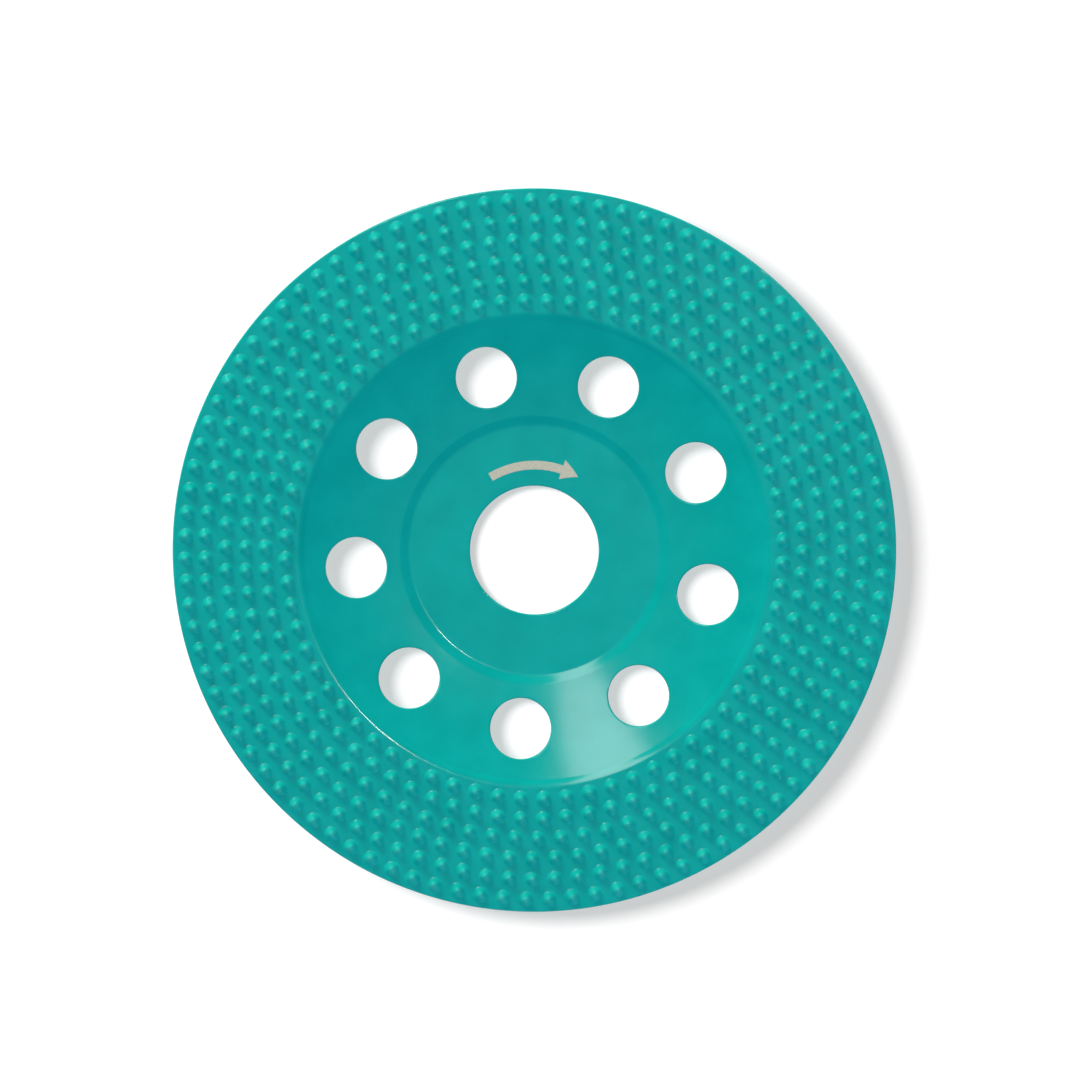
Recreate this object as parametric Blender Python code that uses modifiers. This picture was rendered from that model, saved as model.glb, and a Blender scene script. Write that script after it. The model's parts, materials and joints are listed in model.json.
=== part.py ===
"""Angle grinder carving disc: a pressed steel dish that carries rings of brazed cutting teeth.

A standalone Blender 4.5 script, in metres with +Z up. The origin is on the bore's axis, in the
plane of the hub's back face, where the grinder's flange seats. The teeth point up.
"""

import math

import bmesh
import bpy
from mathutils import Matrix, Vector

MM = 0.001
DEGREE = math.pi / 180

# Plate: one pressed steel blank.
DISC_RADIUS = 62.5 * MM
PLATE_THICKNESS = 2.0 * MM
EDGE_CHAMFER = 0.3 * MM
INNER_BEND = 0.8 * MM  # radius on the inside of every pressed bend

# Hub: the flat seat that the grinder's flange and lock nut clamp.
BORE_RADIUS = 11.115 * MM  # 22.23 mm, or 7/8 inch
NUT_RADIUS = 20.0 * MM
NUT_CLEARANCE = 1.6 * MM
STEP_TILT = 18 * DEGREE
STEP_WALL = 1.13 * MM

# Dish: the shallow bowl between the hub and the toothed band.
DISH_TILT_AT_HUB = 8 * DEGREE
DISH_TILT_AT_LIP = 13 * DEGREE
LIP_TILT = 24 * DEGREE
LIP_WALL = 0.4 * MM

# Vents: round holes through the dish.
VENT_COUNT = 9
VENT_RADIUS = 5.25 * MM
VENT_START = 25.6 * DEGREE
VENT_INSET = 0.5 * MM  # towards the hub from the middle of the dish

# Teeth: concentric rings, each staggered by half a tooth from the next. The toothed band is as
# wide as they need.
RING_COUNT = 6
TOOTH_RADIUS = 1.5 * MM  # at its base
TOOTH_HEIGHT = 0.6 * MM  # above its braze strip
TOOTH_SPACE = 0.97 * MM  # between neighbours along a ring
RING_SPACE = 0.46 * MM  # between one ring's teeth and the next ring's
RIM_SPACE = 0.7 * MM  # between the outermost teeth and the rim
BEND_SPACE = 0.12 * MM  # between the innermost braze strip and the bend into the dish
TOOTH_START = -0.45 * DEGREE
STRIP_THICKNESS = 0.2 * MM

# Clearance between pieces that touch.
SEAT_GAP = 0.3 * MM

# Facets.
PLATE_STEPS = 72  # a multiple of the vents, so that every vent is cut alike
STRIP_STEPS = 60
VENT_SIDES = 24
TOOTH_SIDES = 6
SHARP_ANGLE = 25 * DEGREE
MERGE_DISTANCE = 0.00001

# Colours are linear.
DISC_PAINT = (0.006, 0.360, 0.325)
TOOTH_PAINT = (0.009, 0.395, 0.355)


class FrontLine:
    """The front face's section, drawn from the bore outwards as points of (radius, height, tilt)."""

    def __init__(self, radius, height):
        self.points = [(radius, height, 0.0)]

    @property
    def radius(self):
        return self.points[-1][0]

    @property
    def height(self):
        return self.points[-1][1]

    @property
    def tilt(self):
        return self.points[-1][2]

    def run(self, length):
        """Draws a straight stretch at the present tilt."""
        radius = self.radius + length * math.cos(self.tilt)
        height = self.height + length * math.sin(self.tilt)
        self.points.append((radius, height, self.tilt))

    def bend(self, bend_radius, to_tilt, pieces):
        """Draws an arc to another tilt. It is hollow from the front where the tilt grows."""
        start_radius, start_height, from_tilt = self.points[-1]
        way = bend_radius if to_tilt > from_tilt else -bend_radius
        for k in range(1, pieces + 1):
            tilt = from_tilt + (to_tilt - from_tilt) * k / pieces
            radius = start_radius + way * (math.sin(tilt) - math.sin(from_tilt))
            height = start_height + way * (math.cos(from_tilt) - math.cos(tilt))
            self.points.append((radius, height, tilt))


def draw_front_line():
    """The plate's front section: hub flat, step, bowl, lip and the toothed band's flat."""
    outer_bend = INNER_BEND + PLATE_THICKNESS
    line = FrontLine(BORE_RADIUS, PLATE_THICKNESS)
    line.run(hub_flat_radius() - BORE_RADIUS)
    line.bend(INNER_BEND, STEP_TILT, 2)
    line.run(STEP_WALL)
    line.bend(outer_bend, DISH_TILT_AT_HUB, 2)
    lip_width = INNER_BEND * (math.sin(LIP_TILT) - math.sin(DISH_TILT_AT_LIP))
    lip_width += LIP_WALL * math.cos(LIP_TILT)
    lip_width += outer_bend * math.sin(LIP_TILT)
    bowl_width = band_inner_radius() - lip_width - line.radius
    bowl_radius = bowl_width / (math.sin(DISH_TILT_AT_LIP) - math.sin(DISH_TILT_AT_HUB))
    line.bend(bowl_radius, DISH_TILT_AT_LIP, 3)
    line.bend(INNER_BEND, LIP_TILT, 1)
    line.run(LIP_WALL)
    line.bend(outer_bend, 0.0, 2)
    line.run(DISC_RADIUS - line.radius)
    return line


def hub_flat_radius():
    """The hub's front flat takes the lock nut, with room round it."""
    return NUT_RADIUS + NUT_CLEARANCE


def vent_circle_radius():
    """The vents lie between the hub's flat and the toothed band, a little nearer the hub."""
    return (hub_flat_radius() + band_inner_radius()) / 2 - VENT_INSET


def ring_pitch():
    """From one ring's line to the next."""
    return 2 * TOOTH_RADIUS + RING_SPACE


def strip_half_width():
    """Neighbouring braze strips keep the same gap as other pieces."""
    return (ring_pitch() - SEAT_GAP) / 2


def ring_radii():
    """Each tooth ring's radius, outermost first."""
    outermost = DISC_RADIUS - RIM_SPACE - TOOTH_RADIUS
    return [outermost - k * ring_pitch() for k in range(RING_COUNT)]


def band_inner_radius():
    """Where the toothed band's flat begins."""
    return ring_radii()[-1] - strip_half_width() - BEND_SPACE


def in_collection(name, obj):
    """Puts the object in the named collection, which is made if it isn't there yet."""
    collection = bpy.data.collections.get(name)
    if collection is None:
        collection = bpy.data.collections.new(name)
        bpy.context.scene.collection.children.link(collection)
    collection.objects.link(obj)
    return obj


def make_material(name, colour, roughness, metallic):
    material = bpy.data.materials.new(name)
    material.use_nodes = True
    shader = material.node_tree.nodes["Principled BSDF"]
    shader.inputs["Base Color"].default_value = (*colour, 1.0)
    shader.inputs["Roughness"].default_value = roughness
    shader.inputs["Metallic"].default_value = metallic
    return material


def turned(name, section, steps):
    """A solid of revolution round Z, from a closed section of (radius, height) points.

    The section runs outwards along its top and down its outer side, so that its faces point out.
    """
    mesh = bpy.data.meshes.new(name)
    points = [(radius, 0.0, height) for radius, height in section]
    edges = [(k, (k + 1) % len(points)) for k in range(len(points))]
    mesh.from_pydata(points, edges, [])
    obj = in_collection("carving_disc", bpy.data.objects.new(name, mesh))
    screw = obj.modifiers.new("turn", "SCREW")
    screw.axis = "Z"
    screw.angle = 2 * math.pi
    screw.steps = steps
    screw.render_steps = steps
    screw.use_merge_vertices = True
    screw.merge_threshold = MERGE_DISTANCE
    return obj


def add_boolean(obj, other, operation):
    """Cuts the other object from this one, or joins it, and keeps the other as a hidden guide."""
    boolean = obj.modifiers.new(operation.lower(), "BOOLEAN")
    boolean.operation = operation
    boolean.solver = "EXACT"
    boolean.object = other
    other.hide_render = True
    other.display_type = "WIRE"


def settle(obj, material):
    """Turns the modifiers into the object's own mesh, shaded smooth but for its real edges."""
    graph = bpy.context.evaluated_depsgraph_get()
    mesh = bpy.data.meshes.new_from_object(obj.evaluated_get(graph))
    obj.modifiers.clear()
    obj.data = mesh
    mesh.name = obj.name
    mesh.materials.clear()
    mesh.materials.append(material)
    mesh.shade_smooth()
    mesh.set_sharp_from_angle(angle=SHARP_ANGLE)
    return obj


def ring_of_cones(name, places, radius_below, radius_above, sides, low, high):
    """One mesh of upright cones or cylinders, from a list of (ring radius, angle) places."""
    shape = bmesh.new()
    middle = (low + high) / 2
    for ring_radius, angle in places:
        turn = Matrix.Rotation(angle, 4, "Z")
        place = turn @ Matrix.Translation(Vector((ring_radius, 0.0, middle)))
        bmesh.ops.create_cone(
            shape,
            cap_ends=True,
            segments=sides,
            radius1=radius_below,
            radius2=radius_above,
            depth=high - low,
            matrix=place,
        )
    mesh = bpy.data.meshes.new(name)
    shape.to_mesh(mesh)
    shape.free()
    return in_collection("cutters", bpy.data.objects.new(name, mesh))


def make_plate(line, material):
    """The pressed dish, with its bore, chamfered rims and vents."""
    front = [(radius, height) for radius, height, tilt in line.points]
    back = []
    for radius, height, tilt in line.points:
        inwards = PLATE_THICKNESS * math.sin(tilt)
        down = PLATE_THICKNESS * math.cos(tilt)
        back.append((radius + inwards, height - down))
    section = []
    section.append((BORE_RADIUS + EDGE_CHAMFER, front[0][1]))
    section.extend(front[1:-1])
    section.append((DISC_RADIUS - EDGE_CHAMFER, front[-1][1]))
    section.append((DISC_RADIUS, front[-1][1] - EDGE_CHAMFER))
    section.append((DISC_RADIUS, back[-1][1] + EDGE_CHAMFER))
    section.append((DISC_RADIUS - EDGE_CHAMFER, back[-1][1]))
    section.extend(reversed(back[1:-1]))
    section.append((BORE_RADIUS + EDGE_CHAMFER, back[0][1]))
    section.append((BORE_RADIUS, back[0][1] + EDGE_CHAMFER))
    section.append((BORE_RADIUS, front[0][1] - EDGE_CHAMFER))
    plate = turned("disc_body", section, PLATE_STEPS)
    angles = [VENT_START + k * 2 * math.pi / VENT_COUNT for k in range(VENT_COUNT)]
    places = [(vent_circle_radius(), angle) for angle in angles]
    top = line.height + PLATE_THICKNESS
    drill = ring_of_cones(
        "vent_drill", places, VENT_RADIUS, VENT_RADIUS, VENT_SIDES, -PLATE_THICKNESS, top
    )
    add_boolean(plate, drill, "DIFFERENCE")
    return settle(plate, material)


def make_tooth_ring(number, radius, seat, material):
    """One ring of teeth on the strip of braze that holds them to the plate."""
    half_width = strip_half_width()
    low = seat + SEAT_GAP
    high = low + STRIP_THICKNESS
    section = [
        (radius - half_width, high),
        (radius + half_width, high),
        (radius + half_width, low),
        (radius - half_width, low),
    ]
    name = f"tooth_ring_{number}"
    ring = turned(name, section, STRIP_STEPS)
    count = round(2 * math.pi * radius / (2 * TOOTH_RADIUS + TOOTH_SPACE))
    stagger = 0.5 * ((number - 1) % 2)
    angles = [TOOTH_START + (k + stagger) * 2 * math.pi / count for k in range(count)]
    places = [(radius, angle) for angle in angles]
    root = (low + high) / 2
    tip = high + TOOTH_HEIGHT
    teeth = ring_of_cones(f"teeth_{number}", places, TOOTH_RADIUS, 0.0, TOOTH_SIDES, root, tip)
    add_boolean(ring, teeth, "UNION")
    return settle(ring, material)


def main():
    for obj in list(bpy.data.objects):
        bpy.data.objects.remove(obj)
    disc_paint = make_material("disc_paint", DISC_PAINT, 0.38, 0.0)
    tooth_paint = make_material("tooth_paint", TOOTH_PAINT, 0.42, 0.0)
    line = draw_front_line()
    make_plate(line, disc_paint)
    for number, radius in enumerate(ring_radii(), start=1):
        make_tooth_ring(number, radius, line.height, tooth_paint)


main()
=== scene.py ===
import json
import math
import random

import bmesh
import bpy
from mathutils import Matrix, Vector


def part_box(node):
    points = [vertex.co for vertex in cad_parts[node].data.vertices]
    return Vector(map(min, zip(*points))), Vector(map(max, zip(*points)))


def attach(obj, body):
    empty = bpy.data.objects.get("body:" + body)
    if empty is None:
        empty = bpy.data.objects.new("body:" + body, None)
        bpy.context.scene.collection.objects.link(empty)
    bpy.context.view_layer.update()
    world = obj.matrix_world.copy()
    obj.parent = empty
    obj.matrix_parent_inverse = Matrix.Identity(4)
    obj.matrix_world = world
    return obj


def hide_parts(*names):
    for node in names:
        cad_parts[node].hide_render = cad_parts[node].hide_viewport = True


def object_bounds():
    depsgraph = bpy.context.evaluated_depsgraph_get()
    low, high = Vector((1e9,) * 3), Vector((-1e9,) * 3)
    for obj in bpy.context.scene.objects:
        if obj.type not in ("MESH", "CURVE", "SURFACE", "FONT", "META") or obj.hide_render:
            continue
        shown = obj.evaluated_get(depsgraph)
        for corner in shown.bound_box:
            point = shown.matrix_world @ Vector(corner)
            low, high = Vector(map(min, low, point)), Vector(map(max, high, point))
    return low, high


# The looks of the angle grinder carving disc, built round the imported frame. Lengths are in metres.
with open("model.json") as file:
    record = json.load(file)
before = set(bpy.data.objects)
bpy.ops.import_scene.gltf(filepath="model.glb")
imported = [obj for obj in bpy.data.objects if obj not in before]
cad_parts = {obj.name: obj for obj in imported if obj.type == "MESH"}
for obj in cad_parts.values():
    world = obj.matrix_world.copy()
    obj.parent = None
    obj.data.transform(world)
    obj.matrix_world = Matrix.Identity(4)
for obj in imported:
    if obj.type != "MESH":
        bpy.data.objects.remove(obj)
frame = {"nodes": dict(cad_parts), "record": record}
CAD_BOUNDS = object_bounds()

MM = 0.001
DEGREE = math.pi / 180
BODY = "root"

# The plate's section, as the CAD part has it.
HUB_FLAT_RADIUS = 21.6 * MM
INNER_BEND = 0.8 * MM
STEP_TILT = 18 * DEGREE
STEP_WALL = 1.13 * MM
DISH_TILT_AT_HUB = 8 * DEGREE
DISH_TILT_AT_LIP = 13 * DEGREE
LIP_TILT = 24 * DEGREE
LIP_WALL = 0.4 * MM
BAND_INNER_RADIUS = 41.3 * MM
VENT_COUNT = 9
VENT_RADIUS = 5.25 * MM
VENT_START = 25.6 * DEGREE
VENT_INSET = 0.5 * MM  # towards the hub from the middle of the dish
STRIP_GAP = 0.3 * MM  # between the CAD part's neighbouring tooth rings

# What the CAD part leaves to this script.
HUB_BEND = 2.2 * MM  # of the front face round the hub, softer than the CAD part's
EDGE_ROUND = 0.3 * MM  # on every rim and hole, under the paint
EDGE_PIECES = 5  # across a rounded edge
ARC_STEP = 4 * DEGREE  # of a bend's section
PLATE_COLUMNS = 40  # round the plate for each vent
PATCH_ROWS = 26  # across the bowl beside a vent
PATCH_SPREAD = (0.02, 0.08, 0.17, 0.28, 0.40, 0.52, 0.64, 0.76, 0.88, 1.0)  # vent to patch edge
TOUCH = 0.0002 * MM  # how near a point counts as on a face
MERGE_DISTANCE = 0.0005 * MM  # how near two points count as one

# Teeth: round-nosed cones that run into the band in a small fillet.
TOOTH_SPACE = 0.97 * MM  # between neighbours, measured at the CAD part's bases
TOOTH_BASE_RADIUS = 1.5 * MM
TOOTH_START = -0.45 * DEGREE
FLANK_TILT = 40 * DEGREE
NOSE_RADIUS = 0.5 * MM
NOSE_CROWN = 0.01 * MM  # of the point over the nose's first loop
FILLET_RADIUS = 0.6 * MM
TOOTH_SIDES = 18
BEND_PIECES = 4  # across a nose or a fillet
TOOTH_SINK = 0.005 * MM  # the fillet's edge lies just under the band
TOOTH_ROOT = 0.2 * MM
TIP_DEPTH = 0.5 * MM  # how far down the tips the paint is lighter: thin paint over the metal, and a painted highlight

# How far one tooth differs from the next.
TOOTH_SEED = 5
LEAST_HEIGHT = 0.93  # as a share of the full height
LEAST_WIDTH = 0.95  # as a share of the full width
MOST_WIDTH = 1.02
MOST_OVAL = 0.05
MOST_LOBE = 0.03
LEAN_SPREAD = 0.05  # sideways for each unit of rise
PLACE_SPREAD = 0.04 * MM  # across the ring

# The printed mark: a plain arrow that shows which way the disc turns.
MARK_RADIUS = 14.7 * MM
MARK_HALF_SPAN = 31 * DEGREE
MARK_HALF_WIDTH = 0.75 * MM
ARROW_HALF_WIDTH = 1.75 * MM
ARROW_SPAN = 12 * DEGREE
MARK_HEIGHT = 0.02 * MM
MARK_GAP = 0.003 * MM  # under the ink
MARK_PIECES = 24  # along the shaft
ARROW_PIECES = 4  # along the head

# Paint and ink, from the deeper to the fresher colour. The scales are those of the noise.
# The teeth's teal is the plate's enamel set a little lighter: painted light on the teeth, painted
# shade on the plate.
DISC_TEAL = ((0.0008, 0.312, 0.305), (0.0018, 0.342, 0.333))
TOOTH_TEAL = ((0.0010, 0.333, 0.323), (0.0035, 0.374, 0.362))
# Lighter teal at the tooth tips: partly thin paint over bright carbide, partly a painted highlight.
TIP_TEAL_AND_HIGHLIGHT = (0.035, 0.43, 0.41)
INK = ((0.42, 0.42, 0.36), (0.52, 0.51, 0.43))
DISC_GLOSS = 0.11
TOOTH_GLOSS = 0.22
INK_ROUGHNESS = 0.55
INK_SPECULAR = 0.4
PAINT_SPECULAR = 0.35
GLOSS_SPREAD = 0.15  # as a share of the gloss, either way
DISC_PEEL = 0.002 * MM
TOOTH_PEEL = 0.004 * MM
CLOUD_SCALE = 160.0
GLOSS_SCALE = 420.0
PEEL_SCALE = 620.0
TIP_PATCH_SCALE = 1500.0
SPECKLE_SCALE = 2500.0
CONTRAST = (0.35, 0.65)  # the part of the noise's range that is spread out
SOFT_CONTRAST = (0.3, 0.7)
LEAST_TIP_LIGHTENING = 0.35  # of the tips' lightening, which is thin paint and a painted highlight

# The studio.
FLOOR_HALF_WIDTH = 1.5
FLOOR_DROP = 0.02 * MM  # under the disc
FLOOR_COLOUR = (0.5, 0.5, 0.5)
FLOOR_GLOW_COLOUR = (1.0, 0.97, 0.975)
FLOOR_GLOW = 0.57
FLOOR_ROUGHNESS = 0.9
HORIZON = (0.04, 0.22)  # the Z of a direction, over which the glow falls off
HORIZON_GLOW = 0.9
OVERHEAD_GLOW = 0.03
LIGHT_DISTANCE = 1.8
FILL_DISTANCE = 2.6
WHITE = (1.0, 1.0, 1.0)
COOL = (0.85, 0.91, 1.0)
WARM = (1.0, 1.0, 0.74)

# The camera.
LENS = 400.0
SENSOR_WIDTH = 36.0
VIEW_WIDTH = 186.5 * MM  # at the height of the band
VIEW_CENTRE = (0.97 * MM, 1.73 * MM)


def mount_height(name):
    """The height of a mount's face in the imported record."""
    mount = next(m for m in frame["record"]["mounts"] if m["name"] == name)
    return mount["pos_m"][2]


def vent_centres():
    """Each vent's centre as (radius, angle), a little inside the middle of the dish."""
    radius = (HUB_FLAT_RADIUS + BAND_INNER_RADIUS) / 2 - VENT_INSET
    return [(radius, VENT_START + 2 * math.pi * k / VENT_COUNT) for k in range(VENT_COUNT)]


PLATE_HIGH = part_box("disc_body")[1]
DISC_RADIUS = PLATE_HIGH[0]
BAND_HEIGHT = PLATE_HIGH[2]
PLATE_THICKNESS = mount_height("lock_nut_seat") - mount_height("flange_seat")
BORE_RADIUS = min(math.hypot(v.co.x, v.co.y) for v in frame["nodes"]["disc_body"].data.vertices)
VENTS = vent_centres()
RINGS = sorted(name for name in frame["nodes"] if name.startswith("tooth_ring_"))


def new_piece(name, shape, material):
    """Makes a bmesh a named piece that rides on the disc."""
    mesh = bpy.data.meshes.new(name)
    shape.to_mesh(mesh)
    shape.free()
    mesh.materials.append(material)
    mesh.shade_smooth()
    piece = bpy.data.objects.new(name, mesh)
    bpy.context.scene.collection.objects.link(piece)
    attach(piece, BODY)
    return piece


def loft(shape, loops):
    """Joins closed loops of points, one after another, with quads."""
    rows = [[shape.verts.new(point) for point in loop] for loop in loops]
    for below, above in zip(rows, rows[1:]):
        for k in range(len(below)):
            n = (k + 1) % len(below)
            shape.faces.new((below[k], below[n], above[n], above[k]))
    return rows


def polar(radius, angle, height):
    return (radius * math.cos(angle), radius * math.sin(angle), height)


# ---- the plate ----


def straight(line, length):
    """Adds a straight stretch to a section line of (radius, height, tilt) points."""
    radius, height, tilt = line[-1]
    line.append((radius + length * math.cos(tilt), height + length * math.sin(tilt), tilt))


def bend(line, bend_radius, to_tilt):
    """Adds an arc to another tilt, hollow from the front where the tilt grows."""
    start_radius, start_height, from_tilt = line[-1]
    way = bend_radius if to_tilt > from_tilt else -bend_radius
    pieces = max(2, round(abs(to_tilt - from_tilt) / ARC_STEP))
    for k in range(1, pieces + 1):
        tilt = from_tilt + (to_tilt - from_tilt) * k / pieces
        radius = start_radius + way * (math.sin(tilt) - math.sin(from_tilt))
        height = start_height + way * (math.cos(from_tilt) - math.cos(tilt))
        line.append((radius, height, tilt))


def front_lines():
    """The front face's section from the bore to the bowl, and from the bowl to the rim."""
    outer_bend = INNER_BEND + PLATE_THICKNESS
    trim = (HUB_BEND - INNER_BEND) * math.tan(STEP_TILT / 2)
    inner = [(BORE_RADIUS + EDGE_ROUND, PLATE_THICKNESS, 0.0)]
    straight(inner, HUB_FLAT_RADIUS - trim - BORE_RADIUS - EDGE_ROUND)
    bend(inner, HUB_BEND, STEP_TILT)
    straight(inner, STEP_WALL - trim)
    bend(inner, outer_bend, DISH_TILT_AT_HUB)
    lip_width = INNER_BEND * (math.sin(LIP_TILT) - math.sin(DISH_TILT_AT_LIP))
    lip_width += LIP_WALL * math.cos(LIP_TILT) + outer_bend * math.sin(LIP_TILT)
    start_radius, start_height = inner[-1][:2]
    bowl_width = BAND_INNER_RADIUS - lip_width - start_radius
    bowl_radius = bowl_width / (math.sin(DISH_TILT_AT_LIP) - math.sin(DISH_TILT_AT_HUB))
    rise = bowl_radius * (math.cos(DISH_TILT_AT_HUB) - math.cos(DISH_TILT_AT_LIP))
    outer = [(start_radius + bowl_width, start_height + rise, DISH_TILT_AT_LIP)]
    bend(outer, INNER_BEND, LIP_TILT)
    straight(outer, LIP_WALL)
    bend(outer, outer_bend, 0.0)
    straight(outer, DISC_RADIUS - EDGE_ROUND - outer[-1][0])
    return inner, outer, bowl_radius


def back_of(line):
    """The back face's section, at the plate's thickness behind the front's, from the far end."""
    back = []
    for radius, height, tilt in reversed(line):
        inwards = PLATE_THICKNESS * math.sin(tilt)
        back.append((radius + inwards, height - PLATE_THICKNESS * math.cos(tilt)))
    return back


def round_edge(centre_radius, centre_height, from_angle, to_angle):
    """A quarter round in the section, without its ends, which the faces beside it hold."""
    points = []
    for k in range(1, EDGE_PIECES):
        angle = from_angle + (to_angle - from_angle) * k / EDGE_PIECES
        radius = centre_radius + EDGE_ROUND * math.cos(angle)
        points.append((radius, centre_height + EDGE_ROUND * math.sin(angle)))
    return points


def wall(radius, from_height, to_height):
    return [(radius, from_height), (radius, to_height)]


def turned(shape, section, columns, start):
    """Turns an open section of (radius, height) points round Z."""
    angles = [start + 2 * math.pi * k / columns for k in range(columns)]
    loft(shape, [[polar(radius, angle, height) for angle in angles] for radius, height in section])


class Bowl:
    """One face of the bowl: an arc in section, with its ends' radii."""

    def __init__(self, start, bowl_radius, end_radius):
        radius, height, tilt = start
        self.curve = bowl_radius
        self.middle_radius = radius - bowl_radius * math.sin(tilt)
        self.middle_height = height + bowl_radius * math.cos(tilt)
        self.inner_radius = radius
        self.outer_radius = end_radius

    def height(self, radius):
        along = radius - self.middle_radius
        return self.middle_height - math.sqrt(self.curve**2 - along**2)

    def holds(self, point):
        """Whether the face passes through a point."""
        radius = math.hypot(point.x, point.y)
        if not self.inner_radius - TOUCH < radius < self.outer_radius + TOUCH:
            return False
        return abs(point.z - self.height(radius)) < TOUCH

    def normal(self, point):
        """The face's exact upward normal at a point."""
        radius = math.hypot(point.x, point.y)
        inwards = (radius - self.middle_radius) / self.curve
        upwards = math.sqrt(1 - inwards**2)
        return Vector((-inwards * point.x / radius, -inwards * point.y / radius, upwards))


def patch_edge(bowl, vent_angle, half_sector):
    """The patch's outline round a vent, as (x, y) points: its outer edge, and on by the left."""
    inner, outer = bowl.inner_radius, bowl.outer_radius
    edge = []
    for k in range(PLATE_COLUMNS):
        edge.append((outer, -1 + 2 * k / PLATE_COLUMNS))
    for k in range(PATCH_ROWS):
        edge.append((outer + (inner - outer) * k / PATCH_ROWS, 1))
    for k in range(PLATE_COLUMNS):
        edge.append((inner, 1 - 2 * k / PLATE_COLUMNS))
    for k in range(PATCH_ROWS):
        edge.append((inner + (outer - inner) * k / PATCH_ROWS, -1))
    return [polar(radius, vent_angle + side * half_sector, 0)[:2] for radius, side in edge]


def vent_circle(vent, radius, count):
    """Points round a vent that face the points of patch_edge."""
    step = 2 * math.pi / count
    middle = Vector(polar(vent[0], vent[1], 0)[:2])
    outwards = Vector((math.cos(vent[1]), math.sin(vent[1])))
    left = Vector((-outwards.y, outwards.x))
    points = []
    for k in range(count):
        angle = math.pi / 2 + (k - PLATE_COLUMNS / 2) * step
        points.append(middle + radius * (outwards * math.sin(angle) - left * math.cos(angle)))
    return points


def vent_face(bowl, vent, into):
    """Loops from a vent's wall over its rounded edge to the patch's outline.

    Into is the wall's way: -1 on the front face, and 1 on the back face.
    """
    edge = [Vector(point) for point in patch_edge(bowl, vent[1], math.pi / len(VENTS))]
    loops = []
    for k in range(EDGE_PIECES + 1):
        turn = math.pi / 2 * k / EDGE_PIECES
        ring = vent_circle(vent, VENT_RADIUS + EDGE_ROUND * (1 - math.cos(turn)), len(edge))
        drop = into * EDGE_ROUND * (1 - math.sin(turn))
        loops.append([(p.x, p.y, bowl.height(p.length) + drop) for p in ring])
    lip = vent_circle(vent, VENT_RADIUS + EDGE_ROUND, len(edge))
    for share in PATCH_SPREAD:
        points = [near.lerp(far, share) for near, far in zip(lip, edge)]
        loops.append([(p.x, p.y, bowl.height(p.length)) for p in points])
    return loops


def plate_shape():
    """The whole pressed plate, with true bends, round edges and its vents."""
    inner, outer, bowl_radius = front_lines()
    low_edge, high_edge = EDGE_ROUND, PLATE_THICKNESS - EDGE_ROUND
    section = back_of(inner)[:-1]
    section.append((BORE_RADIUS + EDGE_ROUND, 0.0))
    section += round_edge(BORE_RADIUS + EDGE_ROUND, low_edge, -math.pi / 2, -math.pi)
    section += wall(BORE_RADIUS, low_edge, high_edge)
    section += round_edge(BORE_RADIUS + EDGE_ROUND, high_edge, math.pi, math.pi / 2)
    section += [(radius, height) for radius, height, tilt in inner]
    rim = [(radius, height) for radius, height, tilt in outer]
    rim += round_edge(DISC_RADIUS - EDGE_ROUND, BAND_HEIGHT - EDGE_ROUND, math.pi / 2, 0)
    band_back = BAND_HEIGHT - PLATE_THICKNESS
    rim += wall(DISC_RADIUS, BAND_HEIGHT - EDGE_ROUND, band_back + EDGE_ROUND)
    rim += round_edge(DISC_RADIUS - EDGE_ROUND, band_back + EDGE_ROUND, 0, -math.pi / 2)
    rim += back_of(outer)
    shape = bmesh.new()
    columns = PLATE_COLUMNS * len(VENTS)
    start = VENTS[0][1] - math.pi / len(VENTS)
    turned(shape, section, columns, start)
    turned(shape, rim, columns, start)
    front = Bowl(inner[-1], bowl_radius, outer[0][0])
    back_start = (*back_of(inner)[0], DISH_TILT_AT_HUB)
    back = Bowl(back_start, bowl_radius + PLATE_THICKNESS, back_of(outer)[-1][0])
    for vent in VENTS:
        front_loops = vent_face(front, vent, -1)
        back_loops = vent_face(back, vent, 1)
        loft(shape, front_loops)
        loft(shape, back_loops)
        loft(shape, [front_loops[0], back_loops[0]])
    bmesh.ops.remove_doubles(shape, verts=shape.verts, dist=MERGE_DISTANCE)
    bmesh.ops.recalc_face_normals(shape, faces=shape.faces)
    return shape, front, back


def exact_normal(point, front, back):
    """The plate's normal where a flat or the bowl gives it, or none, which leaves it to Blender."""
    up = Vector((0.0, 0.0, 1.0))
    if front.holds(point):
        return front.normal(point)
    if back.holds(point):
        return -back.normal(point)
    for height in (PLATE_THICKNESS, BAND_HEIGHT):
        if abs(point.z - height) < TOUCH:
            return up
        if abs(point.z - height + PLATE_THICKNESS) < TOUCH:
            return -up
    return Vector((0.0, 0.0, 0.0))


def make_plate(material):
    shape, front, back = plate_shape()
    plate = new_piece("pressed_plate", shape, material)
    normals = [exact_normal(vertex.co, front, back) for vertex in plate.data.vertices]
    plate.data.normals_split_custom_set_from_vertices(normals)
    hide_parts("disc_body")
    return plate


# ---- the teeth ----


def tooth_section(height):
    """A tooth's half-section of (radius, height) points from its nose down to its root."""
    turn = 1 - math.cos(FLANK_TILT)
    reach = math.sin(FLANK_TILT)
    rounds = NOSE_RADIUS + FILLET_RADIUS
    foot = rounds * reach + (height - rounds * turn) / math.tan(FLANK_TILT)
    points = []
    for k in range(1, BEND_PIECES + 1):
        tilt = FLANK_TILT * k / BEND_PIECES
        drop = NOSE_RADIUS * (1 - math.cos(tilt))
        points.append((NOSE_RADIUS * math.sin(tilt), height - drop))
    for k in range(BEND_PIECES + 1):
        tilt = FLANK_TILT * (1 - k / BEND_PIECES)
        rise = FILLET_RADIUS * (1 - math.cos(tilt))
        points.append((foot - FILLET_RADIUS * math.sin(tilt), rise))
    points.append((foot, -TOOTH_ROOT))
    return points


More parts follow.
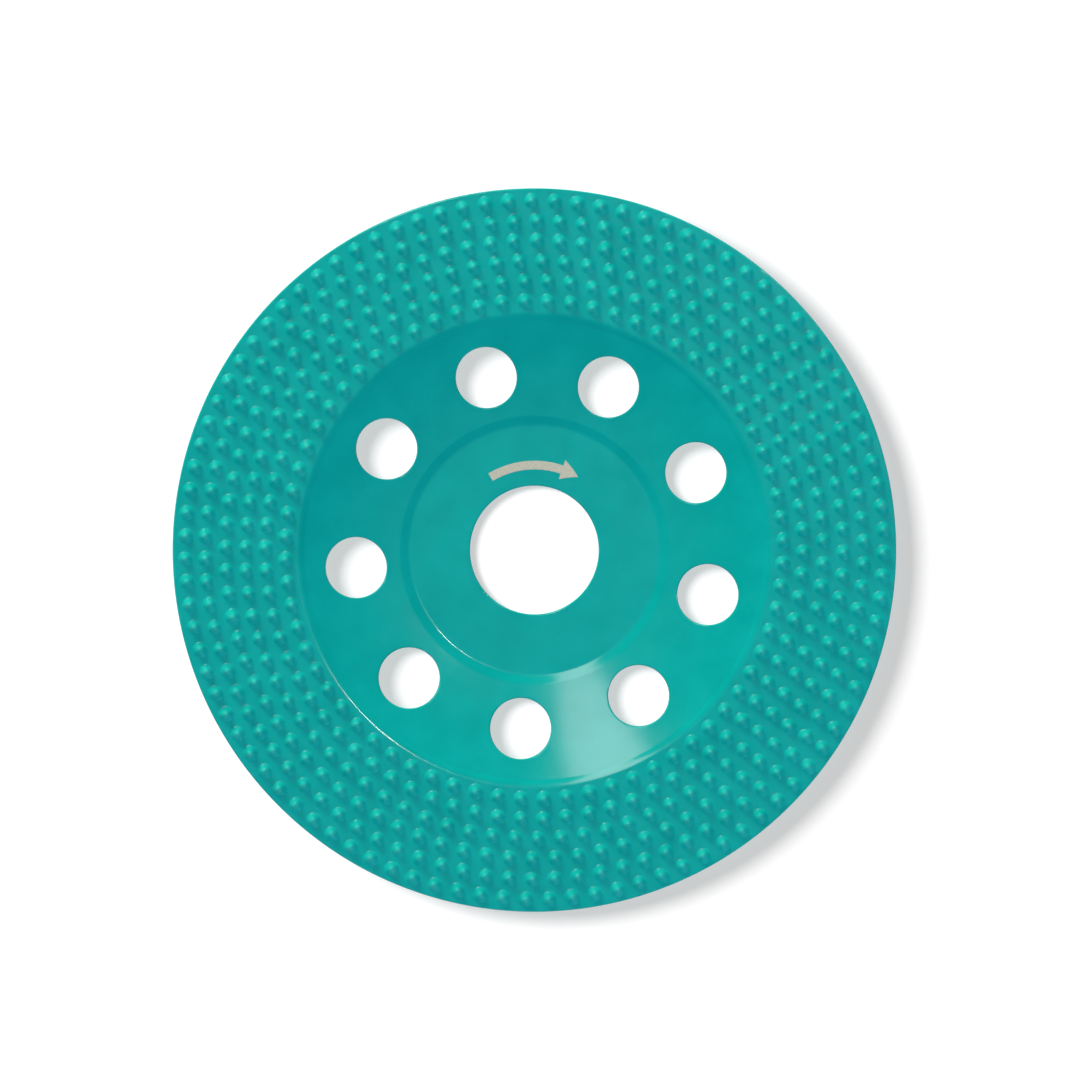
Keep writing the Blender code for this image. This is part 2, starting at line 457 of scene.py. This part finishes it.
def add_tooth(shape, ring_radius, angle, height, dice):
    """One tooth, a little uneven, as brazed teeth are under their paint."""
    section = tooth_section(height * dice.uniform(LEAST_HEIGHT, 1.0))
    width = dice.uniform(LEAST_WIDTH, MOST_WIDTH)
    oval = dice.uniform(0.0, MOST_OVAL)
    oval_way = dice.uniform(0, math.pi)
    lobe = dice.uniform(0.0, MOST_LOBE)
    lobe_way = dice.uniform(0, math.pi)
    lean = Vector((dice.gauss(0, LEAN_SPREAD), dice.gauss(0, LEAN_SPREAD)))
    middle = Vector(polar(ring_radius + dice.gauss(0, PLACE_SPREAD), angle, 0)[:2])
    base = BAND_HEIGHT - TOOTH_SINK
    loops = []
    for radius, rise in section:
        loop = []
        for k in range(TOOTH_SIDES):
            turn = 2 * math.pi * k / TOOTH_SIDES
            uneven = 1 + oval * math.cos(2 * (turn - oval_way))
            uneven += lobe * math.cos(3 * (turn - lobe_way))
            reach = radius * width * uneven
            out = Vector((reach * math.cos(turn), reach * math.sin(turn)))
            at = middle + lean * max(rise, 0) + out
            loop.append((at.x, at.y, base + rise))
        loops.append(loop)
    rows = loft(shape, loops)
    nose_rise = section[0][1]
    nose = middle + lean * nose_rise
    top = shape.verts.new((nose.x, nose.y, base + nose_rise + NOSE_CROWN))
    for k in range(TOOTH_SIDES):
        shape.faces.new((rows[0][k], rows[0][(k + 1) % TOOTH_SIDES], top))
    shape.faces.new(rows[-1])


def make_tooth_ring(name, pitch, material):
    """A ring of separate teeth in place of the CAD part's ring."""
    number = int(name.rsplit("_", 1)[1])
    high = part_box(name)[1]
    radius = high[0] - (pitch - STRIP_GAP) / 2
    height = high[2] - BAND_HEIGHT - STRIP_GAP / 2
    count = round(2 * math.pi * radius / (2 * TOOTH_BASE_RADIUS + TOOTH_SPACE))
    stagger = 0.5 * ((number - 1) % 2)
    dice = random.Random(TOOTH_SEED + number)
    shape = bmesh.new()
    for k in range(count):
        angle = TOOTH_START + (k + stagger) * 2 * math.pi / count
        add_tooth(shape, radius, angle, height, dice)
    bmesh.ops.recalc_face_normals(shape, faces=shape.faces)
    ring = new_piece(f"brazed_teeth_{number}", shape, material)
    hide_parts(name)
    return ring


# ---- the printed mark ----


def make_mark(material):
    """A curved arrow printed above the bore."""
    middle = math.pi / 2
    stations = []
    for k in range(MARK_PIECES + 1):
        along = MARK_HALF_SPAN - (2 * MARK_HALF_SPAN - ARROW_SPAN) * k / MARK_PIECES
        stations.append((middle + along, MARK_HALF_WIDTH))
    head = stations[-1][0]
    for k in range(ARROW_PIECES + 1):
        share = k / ARROW_PIECES
        stations.append((head - ARROW_SPAN * share, ARROW_HALF_WIDTH * (1 - share)))
    shape = bmesh.new()
    low = PLATE_THICKNESS + MARK_GAP
    high = PLATE_THICKNESS + MARK_HEIGHT
    loops = []
    for angle, half in stations:
        inside, outside = MARK_RADIUS - half, MARK_RADIUS + half
        loop = [polar(inside, angle, low), polar(outside, angle, low)]
        loop += [polar(outside, angle, high), polar(inside, angle, high)]
        loops.append(loop)
    rows = loft(shape, loops)
    shape.faces.new(rows[0])
    shape.faces.new(rows[-1])
    bmesh.ops.remove_doubles(shape, verts=shape.verts, dist=MERGE_DISTANCE)
    bmesh.ops.recalc_face_normals(shape, faces=shape.faces)
    mark = new_piece("rotation_arrow", shape, material)
    mark.data.shade_flat()
    return mark


# ---- materials ----


def new_material(name, roughness, specular):
    material = bpy.data.materials.new(name)
    material.use_nodes = True
    shader = material.node_tree.nodes["Principled BSDF"]
    shader.inputs["Roughness"].default_value = roughness
    shader.inputs["Specular IOR Level"].default_value = specular
    return material, material.node_tree, shader


def add_node(tree, kind, **inputs):
    """A node with some of its inputs set. An underscore in an input's name stands for a space."""
    node = tree.nodes.new(kind)
    for name, value in inputs.items():
        node.inputs[name.replace("_", " ")].default_value = value
    return node


def noise(tree, coordinates, scale, detail=2.0):
    """Even procedural noise of about 0 to 1."""
    node = add_node(tree, "ShaderNodeTexNoise", Scale=scale, Detail=detail)
    tree.links.new(coordinates, node.inputs["Vector"])
    return node.outputs["Fac"]


def mapped(tree, value, source, target=(0.0, 1.0)):
    """A value moved from one (low, high) range to another, and kept inside it."""
    node = tree.nodes.new("ShaderNodeMapRange")
    node.inputs["From Min"].default_value, node.inputs["From Max"].default_value = source
    node.inputs["To Min"].default_value, node.inputs["To Max"].default_value = target
    tree.links.new(value, node.inputs["Value"])
    return node.outputs["Result"]


def blended(tree, share, first, second):
    """A colour between two colours or colour outputs."""
    node = tree.nodes.new("ShaderNodeMix")
    node.data_type = "RGBA"
    tree.links.new(share, node.inputs["Factor"])
    for socket, colour in ((node.inputs[6], first), (node.inputs[7], second)):
        if isinstance(colour, tuple):
            socket.default_value = (*colour, 1.0)
        else:
            tree.links.new(colour, socket)
    return node.outputs[2]


def bumped(tree, shader, height, distance):
    node = add_node(tree, "ShaderNodeBump", Strength=1.0, Distance=distance)
    tree.links.new(height, node.inputs["Height"])
    tree.links.new(node.outputs["Normal"], shader.inputs["Normal"])


def teal_paint(name, teal, peel, gloss):
    """Sprayed enamel: a faint unevenness of colour, and orange peel in its gloss."""
    material, tree, shader = new_material(name, gloss, PAINT_SPECULAR)
    place = tree.nodes.new("ShaderNodeTexCoord").outputs["Object"]
    cloud = mapped(tree, noise(tree, place, CLOUD_SCALE, 3.0), CONTRAST)
    colour = blended(tree, cloud, *teal)
    tree.links.new(colour, shader.inputs["Base Color"])
    least, most = gloss * (1 - GLOSS_SPREAD), gloss * (1 + GLOSS_SPREAD)
    dulling = mapped(tree, noise(tree, place, GLOSS_SCALE), SOFT_CONTRAST, (least, most))
    tree.links.new(dulling, shader.inputs["Roughness"])
    bumped(tree, shader, noise(tree, place, PEEL_SCALE), peel)
    return material, tree, shader, colour, place


def disc_enamel():
    return teal_paint("disc_paint", DISC_TEAL, DISC_PEEL, DISC_GLOSS)[0]


def tooth_enamel(tip_height):
    """The same enamel, duller, and lighter towards the tips: partly thinner paint where the bright
    metal tells, partly a painted highlight.
    """
    paint = teal_paint("tooth_paint", TOOTH_TEAL, TOOTH_PEEL, TOOTH_GLOSS)
    material, tree, shader, colour, place = paint
    split = tree.nodes.new("ShaderNodeSeparateXYZ")
    tree.links.new(place, split.inputs[0])
    # Lighter towards the tips and in patches: thin paint and a painted highlight.
    rise = mapped(tree, split.outputs["Z"], (tip_height - TIP_DEPTH, tip_height))
    patchy = mapped(tree, noise(tree, place, TIP_PATCH_SCALE, 3.0), CONTRAST, (LEAST_TIP_LIGHTENING, 1.0))
    thin_paint_and_highlight = tree.nodes.new("ShaderNodeMath")
    thin_paint_and_highlight.operation = "MULTIPLY"
    tree.links.new(rise, thin_paint_and_highlight.inputs[0])
    tree.links.new(patchy, thin_paint_and_highlight.inputs[1])
    tips_lightened = blended(tree, thin_paint_and_highlight.outputs[0], colour, TIP_TEAL_AND_HIGHLIGHT)
    tree.links.new(tips_lightened, shader.inputs["Base Color"])
    return material


def mark_ink():
    """Speckled screen-printing ink."""
    material, tree, shader = new_material("mark_ink", INK_ROUGHNESS, INK_SPECULAR)
    place = tree.nodes.new("ShaderNodeTexCoord").outputs["Object"]
    speckle = mapped(tree, noise(tree, place, SPECKLE_SCALE, 4.0), CONTRAST)
    colour = blended(tree, speckle, *INK)
    tree.links.new(colour, shader.inputs["Base Color"])
    return material


# ---- the studio ----


def make_floor():
    """A plain pale floor under the disc, a little lit from below, as a light table is."""
    shape = bmesh.new()
    bmesh.ops.create_grid(shape, x_segments=1, y_segments=1, size=FLOOR_HALF_WIDTH)
    mesh = bpy.data.meshes.new("floor")
    shape.to_mesh(mesh)
    shape.free()
    material, _, shader = new_material("floor_white", FLOOR_ROUGHNESS, 0.0)
    shader.inputs["Base Color"].default_value = (*FLOOR_COLOUR, 1.0)
    shader.inputs["Emission Color"].default_value = (*FLOOR_GLOW_COLOUR, 1.0)
    shader.inputs["Emission Strength"].default_value = FLOOR_GLOW
    mesh.materials.append(material)
    floor = bpy.data.objects.new("floor", mesh)
    floor.location.z = CAD_BOUNDS[0][2] - FLOOR_DROP
    bpy.context.scene.collection.objects.link(floor)
    return floor


def add_light(name, azimuth, zenith, distance, size, power, colour=WHITE, glossy=True):
    """A soft light that faces the disc, at an azimuth from +X and a zenith from +Z in degrees.

    Size is the width across the azimuth, and the length along it. A light that isn't glossy
    doesn't show in the paint as a highlight.
    """
    data = bpy.data.lights.new(name, "AREA")
    data.shape = "ELLIPSE"
    data.size, data.size_y = size
    data.energy = power
    data.color = colour
    light = bpy.data.objects.new(name, data)
    lean = zenith * DEGREE
    way = Vector(polar(math.sin(lean), azimuth * DEGREE, math.cos(lean)))
    light.location = way * distance
    light.rotation_euler = way.to_track_quat("Z", "Y").to_euler()
    light.visible_glossy = glossy
    bpy.context.scene.collection.objects.link(light)
    return light


def light_only(light, collection_name, objects):
    """Limits what a light falls on. What is left out still casts the light's shadow."""
    lit = bpy.data.collections.get(collection_name) or bpy.data.collections.new(collection_name)
    for obj in objects:
        if obj.name not in lit.objects:
            lit.objects.link(obj)
    light.light_linking.receiver_collection = lit


def make_world():
    """A studio that is dim overhead and bright along the horizon."""
    world = bpy.data.worlds.new("studio")
    world.use_nodes = True
    tree = world.node_tree
    way = tree.nodes.new("ShaderNodeTexCoord").outputs["Generated"]
    split = tree.nodes.new("ShaderNodeSeparateXYZ")
    tree.links.new(way, split.inputs[0])
    strength = mapped(tree, split.outputs["Z"], HORIZON, (HORIZON_GLOW, OVERHEAD_GLOW))
    background = tree.nodes["Background"]
    background.inputs["Color"].default_value = (*WHITE, 1.0)
    tree.links.new(strength, background.inputs["Strength"])
    bpy.context.scene.world = world


def make_studio(pieces):
    """Five lights that fall on the disc alone, and one that gives the floor its shadow."""
    make_world()
    floor = make_floor()
    near = LIGHT_DISTANCE
    disc_lights = [
        add_light("strip", 109, 34, near, (0.30, 1.45), 8.4),
        add_light("accent", 47, 10, near, (0.09, 0.08), 2.1),
        add_light("fill", 0, 0, FILL_DISTANCE, (1.6, 1.6), 23.0, COOL, glossy=False),
        add_light("key", 118, 77, near, (0.6, 0.6), 43.0, WARM, glossy=False),
        add_light("rim_fill", 295, 60, near, (0.8, 0.8), 15.0, COOL, glossy=False),
    ]
    for light in disc_lights:
        light_only(light, "disc_light", pieces)
    side = add_light("side", 155, 40, near, (0.9, 0.9), 46.0)
    light_only(side, "floor_light", [floor])


def make_camera():
    """A long lens straight over the disc, framed a little past its upper right."""
    data = bpy.data.cameras.new("camera")
    data.lens = LENS
    data.sensor_width = SENSOR_WIDTH
    data.clip_end = 10.0
    camera = bpy.data.objects.new("camera", data)
    camera.location = (*VIEW_CENTRE, BAND_HEIGHT + VIEW_WIDTH * LENS / SENSOR_WIDTH)
    bpy.context.scene.collection.objects.link(camera)
    bpy.context.scene.camera = camera


def main():
    make_camera()
    pieces = [make_plate(disc_enamel())]
    tip_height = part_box(RINGS[0])[1][2] - STRIP_GAP / 2
    tooth_paint = tooth_enamel(tip_height)
    edges = [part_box(name)[1][0] for name in RINGS]
    pitch = edges[0] - edges[1]
    for name in RINGS:
        pieces.append(make_tooth_ring(name, pitch, tooth_paint))
    pieces.append(make_mark(mark_ink()))
    make_studio(pieces)
    bpy.context.scene.view_settings.view_transform = "Standard"
    bpy.context.view_layer.update()


main()
